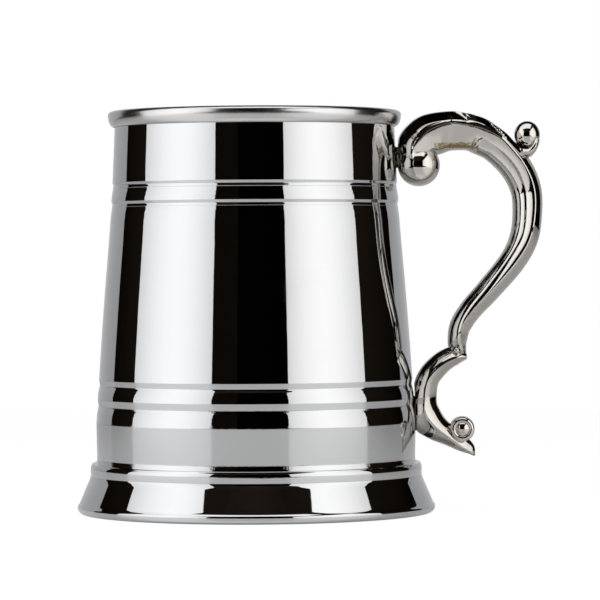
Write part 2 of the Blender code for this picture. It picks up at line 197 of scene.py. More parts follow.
def cloth(name, colour):
    """A plain dull surface."""
    material, tree, output = new_material(name)
    shader = tree.nodes.new("ShaderNodeBsdfDiffuse")
    shader.inputs["Color"].default_value = (*colour, 1)
    tree.links.new(shader.outputs[0], output.inputs["Surface"])
    return material


def paper(name, colour, sheen, camera_share, mirror_share):
    """A pale surface with some sheen, lifted towards white for the camera, mirrors and glass."""
    material, tree, output = new_material(name)
    dull = tree.nodes.new("ShaderNodeBsdfDiffuse")
    dull.inputs["Color"].default_value = (*colour, 1)
    gloss = tree.nodes.new("ShaderNodeBsdfGlossy")
    gloss.inputs["Color"].default_value = (sheen, sheen, sheen, 1)
    gloss.inputs["Roughness"].default_value = PAPER_ROUGHNESS
    shader = tree.nodes.new("ShaderNodeAddShader")
    tree.links.new(dull.outputs[0], shader.inputs[0])
    tree.links.new(gloss.outputs[0], shader.inputs[1])
    white = tree.nodes.new("ShaderNodeEmission")
    white.inputs["Strength"].default_value = PAPER_WHITE
    path = tree.nodes.new("ShaderNodeLightPath").outputs
    mirrored = math_node(tree, "MAXIMUM", path["Is Glossy Ray"], path["Is Transmission Ray"])
    share = math_node(tree, "MULTIPLY", mirrored, mirror_share)
    total = math_node(tree, "MULTIPLY_ADD", path["Is Camera Ray"], camera_share, share)
    mix = tree.nodes.new("ShaderNodeMixShader")
    tree.links.new(total, mix.inputs["Fac"])
    tree.links.new(shader.outputs[0], mix.inputs[1])
    tree.links.new(white.outputs[0], mix.inputs[2])
    tree.links.new(mix.outputs[0], output.inputs["Surface"])
    return material


SIDE_LIGHT = 1.73
SIDE_DIMMING = 0.33
TOP_LIGHT = 1.5
COOL, WARM = (0.985, 0.985, 1.0), (1.0, 0.995, 0.985)
left_glow = glow("left_glow", SIDE_LIGHT, SIDE_DIMMING, LEFT_Y, COOL)
right_glow = glow("right_glow", SIDE_LIGHT, SIDE_DIMMING, RIGHT_Y, WARM)
top_glow = glow("top_glow", TOP_LIGHT, 0.0, TOP_Y)
black_cloth = cloth("black_cloth", (0.006, 0.005, 0.005))
brown_cloth = cloth("brown_cloth", (0.055, 0.040, 0.028))
upper_cloth = cloth("upper_cloth", (0.20, 0.155, 0.125))
table_paper = paper("table_paper", (0.80, 0.80, 0.80), 0.29, 0.9, 0.12)
back_paper = paper("back_paper", (0.72, 0.73, 0.82), 0.0, 1.0, 0.35)
print("side light", SIDE_LIGHT, "top light", TOP_LIGHT)

# %% Set up the studio
# The front wall of the room is black from GAP_LEFT to the right and up to GAP_TOP. That is the dark
# gap between the softboxes.
TABLE_X, TABLE_Y, TABLE_Z = (-600, 600), (-430, 700), -0.02
BACKDROP_X, BACKDROP_Z = (-1002, 806), (0, 520)
ROOM_X, ROOM_Y, ROOM_Z = (-1500, 1500), (-1800, 1500), (-3, 1697)
GAP_LEFT, GAP_TOP = -400, 900
front = flat(ROOM_Y[0])
below, above = (ROOM_Z[0], GAP_TOP), (GAP_TOP, ROOM_Z[1])
panel("softbox_left", flat(-SIDE_DISTANCE), LEFT_Y, LEFT_Z, left_glow)
panel("softbox_right", flat(SIDE_DISTANCE), RIGHT_Y, RIGHT_Z, right_glow)
panel("softbox_top", TOP_X, TOP_Y, flat(TOP_Z), top_glow)
panel("table_top", TABLE_X, TABLE_Y, flat(TABLE_Z), table_paper, seen=True)
panel("backdrop", BACKDROP_X, flat(TABLE_Y[1]), BACKDROP_Z, back_paper)
panel("cloth_floor", ROOM_X, ROOM_Y, flat(ROOM_Z[0]), black_cloth)
panel("cloth_left", flat(ROOM_X[0]), ROOM_Y, ROOM_Z, brown_cloth)
panel("cloth_right", flat(ROOM_X[1]), ROOM_Y, ROOM_Z, brown_cloth)
panel("cloth_front", (GAP_LEFT, ROOM_X[1]), front, below, black_cloth)
panel("cloth_front_left", (ROOM_X[0], GAP_LEFT), front, below, brown_cloth)
panel("cloth_front_top", ROOM_X, front, above, upper_cloth)
panel("cloth_back", ROOM_X, flat(ROOM_Y[1]), ROOM_Z, brown_cloth)
panel("cloth_ceiling", ROOM_X, ROOM_Y, flat(ROOM_Z[1]), upper_cloth)

world = bpy.data.worlds.new("plain_world")
world.use_nodes = True
world.node_tree.nodes["Background"].inputs["Color"].default_value = (1, 1, 1, 1)
world.node_tree.nodes["Background"].inputs["Strength"].default_value = 1
bpy.context.scene.world = world

# %% [markdown]
# ## Turned pieces
# The wall, the rim, the foot, the floor and the solder ring were all made on a lathe or a spinning
# mandrel, so each is an outline turned about the tankard's axis. The outline is drawn in edit mode by
# extruding one vertex from corner to corner, and Spin turns it. Real sheet has no sharp corner: each
# corner is an arc. A point 0.15 mm along the flat on both sides of the arc keeps the smooth normals
# of the flat exact, so a long cone reflects like a cone.

# %% Outline helpers
FLAT_SUPPORT = 0.15
ARC_STEP = 11
LARGEST_TRIM = 0.48
TURN_STEPS = 256
MERGE_DISTANCE = 0.002 * MM


def rounded(corners, closed=True):
    """Turn corners of (radius, height, rounding) in millimetres into points with arcs."""
    count = len(corners)
    trims = []
    for i, (radius, height, rounding) in enumerate(corners):
        if not closed and i in (0, count - 1):
            trims.append(0.0)
            continue
        here = Vector((radius, height))
        before = Vector(corners[i - 1][:2]) - here
        after = Vector(corners[(i + 1) % count][:2]) - here
        half = before.angle(after) / 2
        reach = rounding / math.tan(half) if rounding else 0.0
        trims.append(min(reach, LARGEST_TRIM * before.length, LARGEST_TRIM * after.length))
    points = []
    for i, (radius, height, rounding) in enumerate(corners):
        here = Vector((radius, height))
        trim = trims[i]
        before = Vector(corners[i - 1][:2]) - here
        after = Vector(corners[(i + 1) % count][:2]) - here
        open_end = not closed and i in (0, count - 1)
        bend = [here]
        if trim and not open_end:
            turn = math.pi - before.angle(after)
            steps = max(2, math.ceil(math.degrees(turn) / ARC_STEP))
            start = here + before.normalized() * trim
            end = here + after.normalized() * trim
            weight = math.cos(turn / 2)
            bend = []
            for k in range(steps + 1):
                t = k / steps
                a, b, c = (1 - t) ** 2, 2 * t * (1 - t) * weight, t * t
                bend.append((start * a + here * b + end * c) / (a + b + c))
        lead_in = before.length - trim - trims[i - 1] > 3 * FLAT_SUPPORT and (closed or i > 0)
        lead_out = after.length - trim - trims[(i + 1) % count] > 3 * FLAT_SUPPORT
        lead_out = lead_out and (closed or i < count - 1)
        if lead_in and not open_end:
            points.append(here + before.normalized() * (trim + FLAT_SUPPORT))
        points.extend(bend)
        if lead_out and not open_end:
            points.append(here + after.normalized() * (trim + FLAT_SUPPORT))
    return [(point.x, point.y) for point in points]


def turned(name, outline, closed=True, steps=TURN_STEPS):
    """Extrude one vertex along an outline in millimetres and spin it about the tankard's axis."""
    points = list(outline) + ([outline[0]] if closed else [])
    start = Vector((AXIS_X + points[0][0] * MM, 0, points[0][1] * MM))
    bpy.ops.object.select_all(action="DESELECT")
    bpy.ops.mesh.primitive_plane_add(size=MM, location=start)
    piece = bpy.context.object
    piece.name = name
    piece.data.name = name
    bpy.ops.object.mode_set(mode="EDIT")
    bpy.ops.mesh.merge(type="CENTER")
    for here, there in zip(points, points[1:]):
        move = ((there[0] - here[0]) * MM, 0, (there[1] - here[1]) * MM)
        bpy.ops.mesh.extrude_region_move(TRANSFORM_OT_translate={"value": move})
    bpy.ops.mesh.select_all(action="SELECT")
    bpy.ops.mesh.spin(steps=steps, angle=math.tau, center=(AXIS_X, 0, 0), axis=(0, 0, 1))
    finish_shape(piece)
    return piece


def finish_shape(piece, sharp=34):
    """Close seams and poles, face everything outwards, smooth it and apply its place."""
    bpy.context.view_layer.objects.active = piece
    if piece.mode != "EDIT":
        bpy.ops.object.mode_set(mode="EDIT")
    bpy.ops.mesh.select_all(action="SELECT")
    bpy.ops.mesh.remove_doubles(threshold=MERGE_DISTANCE)
    bpy.ops.mesh.normals_make_consistent(inside=False)
    bpy.ops.object.mode_set(mode="OBJECT")
    bpy.ops.object.select_all(action="DESELECT")
    piece.select_set(True)
    bpy.ops.object.shade_smooth_by_angle(angle=math.radians(sharp))
    bpy.ops.object.transform_apply(location=True, rotation=True, scale=True)
    print(piece.name, "has", sum(len(face.vertices) - 2 for face in piece.data.polygons), "triangles")


def settle(piece, slot, *nodes):
    """Let a piece ride on the tankard and stand for its CAD nodes. The slot is not used."""
    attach(piece, "root")
    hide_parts(*nodes)


# %% [markdown]
# ### The wall
# The wall is one tapered cone of 1 mm sheet with four rolled steps. At each step the wall draws in
# by a quarter to a third of a millimetre on its way down, and this narrow band looks down at the
# table. That is why a step shows as a bright line across the dark strip. Under each upper step lies a
# second ledge, about a tenth of a millimetre high, which shows as a hairline. Above the foot the wall
# turns in a soft belly, and its lowest band leans outwards a little, so it mirrors the table. Each
# corner is radius, height and rounding.

# %% Turn the wall
wall_outer = [
    (47.55, 12.4, 0.2),
    (47.55, 16.2, 0.5),
    (47.733, 27.2, 2.0),
    (47.61, 28.8, 4.0),
    (47.48, 30.0, 4.0),
    (47.29, 31.1, 4.0),
    (47.05, 32.0, 1.6),
    (47.315, 34.15, 0.3),
    (47.24, 35.5, 4.0),
    (47.08, 36.5, 4.0),
    (46.86, 37.45, 4.0),
    (46.63, 38.25, 1.2),
    (46.885, 39.95, 0.3),
    (46.168, 50.46, 60.0),
    (45.407, 60.82, 60.0),
    (44.573, 71.18, 60.0),
    (43.667, 81.54, 60.0),
    (43.217, 87.5, 20.0),
    (42.963, 89.8, 12.0),
    (42.729, 91.28, 0.04),
    (42.752, 91.37, 0.04),
    (42.59, 92.15, 0.35),
    (42.93, 92.98, 0.25),
    (42.82, 94.3, 6.0),
    (42.63, 95.6, 6.0),
    (42.394, 96.86, 0.04),
    (42.431, 97.00, 0.04),
    (42.25, 97.78, 0.5),
    (42.57, 98.60, 0.25),
    (42.45, 100.4, 12.0),
    (41.7, 117.9, 0.2),
]
wall_inner = [
    (46.55, 12.4, 0.2),
    (46.55, 17.0, 6.0),
    (46.66, 26.6, 8.0),
    (46.15, 34.0, 12.0),
    (45.80, 40.1, 20.0),
    (43.573, 71.18, 60.0),
    (41.75, 92.5, 20.0),
    (41.45, 98.4, 20.0),
    (40.7, 117.9, 0.2),
]
wall = turned("wall", rounded(wall_outer + wall_inner[::-1]))

# %% [markdown]
# ### The rim
# A half-round bead caps the sheet's raw edge. Its nose lies above its middle: the upper quarter is
# tight and mirrors the overhead light, and the longer lower quarter mirrors the table.

# %% Turn the rim
def bow(centre, radii, start, end, segments):
    """Points of an elliptical arc in millimetres, with angles in degrees from +radius to +height."""
    points = []
    for i in range(segments + 1):
        angle = math.radians(start + (end - start) * i / segments)
        points.append((centre[0] + radii[0] * math.cos(angle), centre[1] + radii[1] * math.sin(angle)))
    return points


RIM_NOSE_Z = 118.85
rim_outline = bow((42.0, RIM_NOSE_Z), (1.8, RIM_NOSE_Z - 115.2), -90, 0, 14)
rim_outline += bow((41.75, RIM_NOSE_Z), (2.05, 120.0 - RIM_NOSE_Z), 0, 90, 10)[1:]
rim_outline += bow((41.6, 119.0), (0.9, 1.0), 90, 180, 8)[1:]
rim_outline += [(40.7, 118.5), (40.7, 118.2), (41.3, 118.2), (42.0, 118.2)]
rim_outline += [(42.0, 117.0), (42.0, 115.9), (42.0, 115.4)]
rim = turned("rim", rim_outline)

# %% [markdown]
# ### The foot
# The foot is spun from thinner sheet: an upper edge that thins out against the wall, a rounded
# shoulder, a short upright collar, a straight flare, and a rolled lip with a narrow flat land that
# the tankard stands on. The outline runs down the outside and up again on the inside.

# %% Turn the foot
foot_outline = [(47.56, 16.32), (47.566, 16.15), (47.58, 15.85), (47.60, 15.50), (47.63, 15.22)]
foot_outline += [(47.66, 14.97), (47.76, 14.93), (48.3, 14.92)]
foot_outline += bow((48.84, 14.55), (0.37, 0.37), 90, 36, 6)
foot_outline += bow((46.85, 13.4), (2.65, 2.65), 30, 0, 8)
flare = [(49.5, 13.4, 0), (49.5, 11.18, 2.2), (49.62, 10.75, 3.0), (49.83, 10.15, 6.0)]
flare += [(52.86, 3.10, 4.0), (53.11, 2.66, 0)]
foot_outline += rounded(flare, closed=False)[1:]
foot_outline += bow((51.65, 1.8), (1.8, 1.8), 28, -90, 16)[1:]
foot_outline += [(51.5, 0.0), (50.5, 0.0), (50.35, 0.0), (50.4, 0.9), (50.45, 1.8)]
inside = [(50.45, 1.8, 0), (51.95, 3.6, 0.8), (48.55, 11.5, 0.3), (48.55, 14.0, 0)]
foot_outline += rounded(inside, closed=False)[1:]
foot_outline += bow((47.85, 13.1), (0.7, 0.6), 0, 90, 5)[1:]
foot = turned("foot", foot_outline)

# %% [markdown]
# ### The floor and the solder
# The floor of the cup is a pressed dish with its flange turned down inside the wall. A solder ring
# closes the pocket between the wall and the foot.

# %% Turn the floor and the solder ring
floor_outline = [(0.0, 17.0), (20.0, 17.0), (40.0, 17.0), (44.4, 17.0)]
floor_outline += bow((44.65, 15.4), (1.6, 1.6), 90, 0, 10)
floor_outline += [(46.25, 15.2), (46.25, 13.2), (46.25, 13.0)]
floor_outline += [(45.25, 13.0), (45.25, 13.2), (45.25, 15.2)]
floor_outline += bow((44.65, 15.4), (0.6, 0.6), 0, 90, 5)
floor_outline += [(44.4, 16.0), (40.0, 16.0), (20.0, 16.0), (0.0, 16.0)]
cup_floor = turned("cup_floor", floor_outline, closed=False)
solder_corners = [(47.85, 12.35, 0.1), (48.25, 12.35, 0.1), (48.25, 13.85, 0.1), (47.85, 13.85, 0.1)]
solder_ring = turned("solder_ring", rounded(solder_corners), steps=TURN_STEPS // 2)

# %% [markdown]
# ## The handle
# The handle is one casting, polished by hand. Its bar has a low crown outside, a crisp edge on both
# sides, two side faces that lean inwards and a round roll along the inside. No single primitive gives
# such a section, so a ring of vertices is extruded from station to station, and each new ring is laid
# on the section of its station. The stations are joined by a smooth curve.

# %% Smooth curves and swept rings
def smooth(stations, steps):
    """Rows on a Catmull-Rom curve through rows of numbers."""
    rows = []
    for i in range(len(stations) - 1):
        around = (stations[max(i - 1, 0)], stations[i], stations[i + 1])
        around += (stations[min(i + 2, len(stations) - 1)],)
        for k in range(steps):
            t = k / steps
            rows.append(
                [
                    0.5 * (2 * b + (c - a) * t + (2 * a - 5 * b + 4 * c - d) * t * t)
                    + 0.5 * (3 * b - a - 3 * c + d) * t**3
                    for a, b, c, d in zip(*around)
                ]
            )
    return rows + [list(stations[-1])]


def lay(piece, ring):
    """Move the selected ring of vertices onto its section, given in millimetres from the axis."""
    bm = bmesh.from_edit_mesh(piece.data)
    number = bm.verts.layers.int["number"]
    for vert in bm.verts:
        if vert.select:
            x, y, z = ring[vert[number]]
            vert.co = (AXIS_X + x * MM, y * MM, z * MM)
    bmesh.update_edit_mesh(piece.data)


def swept(name, rings):
    """Extrude a ring through all the given rings of points into one closed body."""
    bpy.ops.object.select_all(action="DESELECT")
    bpy.ops.mesh.primitive_circle_add(vertices=len(rings[0]), radius=MM, fill_type="NGON")
    piece = bpy.context.object
    piece.name = name
    bpy.ops.object.mode_set(mode="EDIT")
    bm = bmesh.from_edit_mesh(piece.data)
    number = bm.verts.layers.int.new("number")
    for i, vert in enumerate(bm.verts):
        vert[number] = i
    lay(piece, rings[0])
    for ring in rings[1:]:
        bpy.ops.mesh.extrude_region_move()
        lay(piece, ring)
    bpy.ops.object.mode_set(mode="OBJECT")
    print(name, "is swept through", len(rings), "rings")
    return piece


def along(rows, section):
    """Rings of a section carried along rows that start with x and z."""
    rings = []
    for i, row in enumerate(rows):
        ahead, behind = rows[min(i + 1, len(rows) - 1)], rows[max(i - 1, 0)]
        run = Vector((ahead[0] - behind[0], ahead[1] - behind[1])).normalized()
        rings.append([(row[0] - run.y * n, across, row[1] + run.x * n) for n, across in section(row[2:])])
    return rings


# %% The sections of the bar and of the lower scroll
EDGE = 0.22
ROLL_STEPS = 16
FACE_SHARES = (1.0, 0.85, 0.7, 0.5, 0.3, 0.15)
CROWN_SHARES = [0.965 - 0.1206 * k for k in range(9)]
STRAIGHT_SHARE, HOLLOW_POWER = 0.25, 1.9
SCROLL_FACE, SCROLL_ROLL, SCROLL_PINCH = 0.02, 0.995, 1.33


def between(start, end, share):
    """A point on the line from start to end."""
    return tuple(a + (b - a) * share for a, b in zip(start, end))


def bar_section(row, pinch=1.0):
    """Crown, edge, leaning side face and inner roll, as (along the normal, across)."""
    outer, half, depth, roll, inner, start = row
    edge = (0.0, half)
    half_ring = []
    start = math.radians(start)
    for k in range(ROLL_STEPS + 1):
        angle = math.pi / 2 + (start - math.pi / 2) * k / ROLL_STEPS
        down = ((math.sin(angle) - math.sin(start)) / (1 - math.sin(start))) ** pinch
        out = max(0.0, math.cos(angle) / math.cos(start)) ** pinch
        half_ring.append((-depth - (inner - depth) * down, roll * out))
    for share in FACE_SHARES:
        hollow = STRAIGHT_SHARE * share + (1 - STRAIGHT_SHARE) * share**HOLLOW_POWER
        lean = (half - roll - 0.02) * hollow
        half_ring.append((-depth * share, half - lean))
    face_end = between(edge, half_ring[-1], min(0.5, EDGE / math.dist(edge, half_ring[-1])))
    crown = [(outer * (1 - share * share), half * share) for share in CROWN_SHARES]
    half_ring += [face_end, between(between(face_end, edge, 0.6), crown[0], 0.5), crown[0]]
    half_ring += crown[1:]
    mirrored = [(n, -across) for n, across in half_ring[-2:0:-1]]
    return half_ring + mirrored


def scroll_section(row):
    """Half-round inside and a low crown outside, with an edge between them."""
    inner, outer, half = row
    return bar_section((outer, half, SCROLL_FACE * inner, SCROLL_ROLL * half, inner, 0), SCROLL_PINCH)


# %% [markdown]
# ### The grip
# The bar rises from the upper scroll, arches over and comes down in an S to the cusp. Station by
# station, in millimetres from the axis and the table: x and height, crown, half width, depth of the
# side face, half width of the roll, whole inner depth, and the angle in degrees at which the roll
# starts. Towards the cusp the side face dies away and the bar is a plain D.

# %% Sweep the grip
GRIP = (
    (47.70, 102.20, 3.2, 4.6, 0.4, 4.2, 0.8, 0),
    (47.10, 104.80, 3.9, 6.0, 0.9, 5.4, 1.5, 0),
    (46.55, 107.40, 3.8, 6.5, 1.8, 5.6, 3.2, 0),
    (46.90, 109.90, 3.95, 6.6, 3.6, 5.0, 4.6, 10),
    (48.50, 112.70, 3.0, 6.6, 5.6, 4.7, 6.6, 25),
    (51.60, 115.30, 2.1, 6.5, 6.6, 4.4, 8.4, 40),
    (57.68, 116.80, 1.6, 6.4, 6.7, 4.4, 9.0, 45),
    (63.00, 116.65, 1.5, 6.4, 6.6, 4.3, 8.7, 40),
    (65.40, 116.25, 1.4, 6.4, 6.1, 4.3, 8.6, 36),
    (68.60, 115.15, 1.4, 6.4, 4.4, 4.4, 8.8, 28),
    (74.15, 111.40, 1.7, 6.4, 3.7, 4.7, 8.1, 24),
    (79.92, 104.40, 2.4, 6.4, 3.2, 4.8, 7.3, 21),
    (83.23, 96.80, 2.4, 6.3, 3.4, 4.7, 6.9, 21),
    (83.49, 88.50, 2.4, 6.2, 3.2, 4.7, 6.5, 20),
    (81.80, 81.00, 2.8, 6.1, 2.6, 4.9, 5.9, 14),
    (77.56, 74.10, 3.1, 5.9, 2.0, 5.0, 4.9, 6),
    (70.32, 65.90, 3.1, 5.7, 0.6, 5.4, 4.3, 2),
    (64.62, 60.00, 3.1, 5.5, 0.1, 5.4, 3.8, 8),
    (61.63, 55.40, 2.95, 5.3, 0.1, 5.2, 3.6, 12),
    (61.32, 51.10, 2.0, 4.9, 0.1, 4.8, 3.9, 12),
    (61.90, 48.70, 1.2, 3.6, 0.1, 3.5, 4.0, 12),
    (62.25, 47.60, 0.85, 2.9, 0.1, 2.8, 4.0, 12),
    (62.45, 46.20, 0.60, 2.6, 0.1, 2.5, 3.6, 12),
)
GRIP_STEPS = 12
grip = swept("grip", along(smooth(GRIP, GRIP_STEPS), bar_section))

# %% [markdown]
# Between the arch and the upper scroll the casting is filled out by a cheek. Its side faces lean
# downwards only, so it is laid in upright sections: x, top, half width, depth of the side face, half
# width of the roll below it, and whole depth.

# %% Sweep the cheek
CHEEK = (
    (47.40, 109.40, 6.55, 2.00, 6.00, 2.80),
    (48.20, 110.30, 6.60, 2.90, 5.80, 3.70),
    (49.80, 112.10, 6.60, 4.60, 5.30, 5.50),
    (51.35, 113.70, 6.60, 5.90, 5.00, 7.10),
    (52.80, 114.60, 6.55, 6.20, 4.85, 8.05),
    (54.20, 115.10, 6.50, 6.00, 4.75, 8.60),
    (56.00, 115.70, 6.45, 5.85, 4.60, 8.75),
    (57.70, 116.10, 6.40, 6.05, 4.50, 8.50),
    (59.60, 116.30, 6.20, 6.20, 4.20, 8.20),
)
CHEEK_CROWN, CHEEK_ROLL_START = 0.3, 40
cheek_rings = []
for x, z, half, depth, roll, inner in smooth(CHEEK, GRIP_STEPS):
    section = bar_section((CHEEK_CROWN, half, depth, roll, inner, CHEEK_ROLL_START))
    cheek_rings.append([(x, across, z + n) for n, across in section])
cheek = swept("cheek", cheek_rings)

# %% [markdown]
# Under the arch the roll starts as a rounded bud that stands a little proud of the bar, and then
# runs on into it. It is a body of its own with a blunt tip, carried along the grip's own stations.
# Start and end count those stations, and the lengths are in millimetres. At the tip the bud is
# round on its upper side as well. On its way down it sinks into the bar.

# %% Sweep the start of the roll
BUD_START, BUD_END = 8.85, 12.0
BUD_TIP_LENGTH, BUD_ROUND_LENGTH = 1.2, 2.5
BUD_PROUD, BUD_SINK = 0.6, 1.4
BUD_TURN = 80
BUD_TOP = 0.84
BUD_STEPS, BUD_BACK_STEPS = 32, 9
SMALLEST_TIP = 0.02
FINE_STEPS = 24


def bud_section(row):
    """The outside of the roll, a little proud of it; at the tip its upper side is round as well."""
    depth, roll, inner, start, proud, size = row
    middle = -(depth + inner) / 2
    first = math.radians(start)
    upper = BUD_TOP * depth
    right = []
    for k in range(BUD_STEPS + 1):
        angle = first + (math.pi / 2 - first) * k / BUD_STEPS
        down = (math.sin(angle) - math.sin(first)) / (1 - math.sin(first)) * (inner - upper)
        right.append((-upper - down, (roll + proud) * math.cos(angle) / math.cos(max(first, 0.0))))
    left = [(n, -across) for n, across in right[-2::-1]]
    back = [0.75 * roll * (2 * k / BUD_BACK_STEPS - 1) for k in range(BUD_BACK_STEPS + 1)]
    inside = [(-upper + 0.35, across) for across in back]
    return [(middle + (n - middle) * size, across * size) for n, across in right + left + inside]


bud_rows = []
travel = 0.0
for i, row in enumerate(smooth(GRIP, FINE_STEPS)):
    share = (i / FINE_STEPS - BUD_START) / (BUD_END - BUD_START)
    if 0 <= share <= 1:
        if bud_rows:
            travel += math.dist(row[:2], bud_rows[-1][:2])
        x, z, _, _, depth, roll, inner, start = row
        size = math.sqrt(max(SMALLEST_TIP, 1 - max(0.0, 1 - travel / BUD_TIP_LENGTH) ** 2))
        start -= BUD_TURN * max(0.0, 1 - travel / BUD_ROUND_LENGTH)
        bud_rows.append((x, z, depth, roll, inner, start, BUD_PROUD * (1 - BUD_SINK * share), size))
bud = swept("bud", along(bud_rows, bud_section))

# %% [markdown]
# ### The lower scroll and the tongue
# The lower scroll turns from the cusp to the wall and runs out in a spur. A row of it is x, height,
# depth of the round inside, crown outside and half width. The tongue curls up behind the arch and
# holds the thumb knob. A row of it is x, height, depth of the round below, height of the bevel,
# height of the crown and half width.

# %% Sweep the lower scroll and the tongue
SCROLL_STEPS, TONGUE_STEPS = 10, 8
TONGUE_SLOPE = 0.62
SCROLL = (
    (63.10, 46.30, 1.20, 0.90, 3.20),
    (60.36, 46.00, 3.50, 2.00, 4.60),
    (56.90, 44.60, 3.80, 2.60, 5.00),
    (53.75, 42.20, 3.75, 3.10, 5.00),
    (51.70, 39.75, 3.60, 3.35, 5.00),
    (50.75, 37.10, 3.60, 3.60, 5.00),
    (50.40, 33.80, 4.05, 3.75, 5.00),
    (50.45, 30.80, 4.30, 4.10, 5.00),
    (51.57, 28.10, 5.40, 4.20, 5.00),
    (54.27, 25.10, 4.30, 3.60, 4.80),
    (58.08, 22.10, 2.80, 3.20, 4.20),
    (61.65, 19.50, 1.80, 3.00, 3.20),
    (63.85, 18.00, 1.00, 2.20, 1.90),
    (65.35, 16.60, 0.25, 0.30, 0.70),
)
TONGUE = (
    (75.20, 111.50, 0.80, 0.50, 0.90, 3.6),
    (76.40, 110.00, 1.10, 0.80, 1.30, 4.3),
    (77.50, 108.85, 1.30, 0.85, 1.50, 4.5),
    (78.60, 108.05, 1.40, 0.85, 1.50, 4.5),
    (79.70, 107.45, 1.60, 0.85, 1.50, 4.4),
    (80.85, 107.30, 1.70, 0.75, 1.50, 4.3),
    (81.90, 107.40, 1.60, 0.75, 1.40, 4.3),
    (82.70, 107.90, 1.35, 0.75, 1.30, 4.3),
    (83.50, 108.70, 1.10, 0.70, 1.20, 4.3),
    (84.05, 109.85, 1.00, 0.60, 1.00, 4.1),
    (84.35, 111.10, 0.90, 0.50, 0.80, 3.7),
    (84.45, 112.20, 0.30, 0.20, 0.30, 2.2),
)


def tongue_section(row):
    """Half-round below, a bevel along both edges and a low crown on top."""
    inner, bevel, outer, half = row
    half_ring = []
    for k in range(ROLL_STEPS + 1):
        angle = math.pi / 2 * (1 - k / ROLL_STEPS)
        half_ring.append((-inner * math.sin(angle), half * math.cos(angle)))
    shoulder = half - TONGUE_SLOPE * bevel
    half_ring += [(0.08, half - 0.03), (bevel, shoulder)]
    half_ring += [(bevel + (outer - bevel) * (1 - s * s), shoulder * s) for s in (0.9, 0.7, 0.4, 0.0)]
    return half_ring + [(n, -across) for n, across in half_ring[-2:0:-1]]


lower_scroll = swept("lower_scroll", along(smooth(SCROLL, SCROLL_STEPS), scroll_section))
tongue = swept("tongue", along(smooth(TONGUE, TONGUE_STEPS), tongue_section))

# %% [markdown]
# ### The leaf
# The leaf lies over the arch like a small roof. Two narrow facets run along its foot, a steep face
# rises above them, and a low crown closes it. The face has three lobes. Each swells towards its tip
# and ends in a slanting bevel, which mirrors the overhead light as a pale wedge. A row gives four
# heights above the bar's edge at one of the grip's first stations: the foot, the bend between the
# facets, the start of the face, and the top. The ends and bevels of the lobes are shares of the leaf.

# %% Sweep the leaf
LOBE_ENDS = (0.0, 0.533, 0.872, 1.073)
LOBE_SLANT = 0.097
LOBE_BEVELS = (0.0, 0.079, 0.039)
LOBE_LIP, LOBE_MEAN, LOBE_POWER = 0.8, 0.7, 1.5
CREST_LIFT, CREST_MEAN = 0.25, 0.6
LEAF_START, LEAF_END = 2.7, 10.95
LEAF_PROUD, ROOT_SHARE = 0.33, 0.12
LOWER_SLOPE, UPPER_SLOPE, FACE_SLOPE = 0.21, 0.62, 0.27
CROWN_HEIGHT = 0.35
FACE_HEIGHTS = (0.02, 0.06, 0.12, 0.2, 0.35, 0.5, 0.65, 0.8, 0.92, 1.0)
LEAF = (
    (-0.40, -0.30, -0.10, 3.40),
    (-0.80, -0.50, -0.10, 4.20),
    (-0.50, -0.30, -0.10, 3.30),
    (-1.20, -0.70, -0.10, 4.40),
    (-1.60, -0.95, -0.10, 4.10),
    (-1.50, -0.95, -0.05, 3.50),
    (-0.80, -0.50, 0.00, 2.80),
    (-1.10, -0.60, 0.15, 2.65),
    (-1.20, -0.15, 0.10, 2.38),
    (-1.00, -0.15, 0.10, 2.15),
    (-0.40, -0.10, 0.10, 2.10),
    (-0.10, 0.00, 0.05, 2.40),
)


def swell(share):
    """How far a lobe has swollen at a place of the leaf: 0 at its root, 1 at its tip, then a bevel."""
    share = max(0.0, share)
    for root, tip, bevel in zip(LOBE_ENDS, LOBE_ENDS[1:], LOBE_BEVELS):
        if share < root + bevel:
            return 1 - (share - root) / bevel
        if share < tip:
            return ((share - root - bevel) / (tip - root)) ** LOBE_POWER
    return 1.0


def leaf_section(row):
    """Two facets along the foot, a steep face above them and a low crown; the face carries the lobes."""
    half, low, middle, high, top, share = row
    fade = math.sqrt(max(0.0, 1 - share**20))
    width = 0.6 + 0.4 * fade
    foot = half + LEAF_PROUD * min(1.0, share / ROOT_SHARE)
    bend = foot - LOWER_SLOPE * (middle - low)
    base = bend - UPPER_SLOPE * (high - middle)
    crest = CREST_LIFT * (swell(share + LOBE_SLANT) - CREST_MEAN)
    top = high + (top + crest - high) * max(0.15, fade)
    shoulder = top - CROWN_HEIGHT * fade
    right = [(low - 1.0, foot - 1.1), (low - 0.3, foot - 0.38), (low, foot), (middle, bend), (high, base)]
    for height in FACE_HEIGHTS:
        lip = LOBE_LIP * (swell(share + LOBE_SLANT * height) - LOBE_MEAN)
        rise = (shoulder - high) * height
        right.append((high + rise, (base - FACE_SLOPE * rise + lip) * width))
    last = right[-1][1]
    right += [(shoulder + (top - shoulder) * (1 - k * k), last * k) for k in (0.9, 0.75, 0.5, 0.25)]
    return right + [(top, 0.0)] + [(n, -across) for n, across in right[::-1]]


leaf_rows = []
leaf_path = [grip_row[:2] + grip_row[3:4] + leaf_row for grip_row, leaf_row in zip(GRIP, LEAF)]
for i, row in enumerate(smooth(leaf_path, FINE_STEPS)):
    share = (i / FINE_STEPS - LEAF_START) / (LEAF_END - LEAF_START)
    if 0 <= share <= 1:
        leaf_rows.append((*row, share))
leaf = swept("leaf", along(leaf_rows, leaf_section))


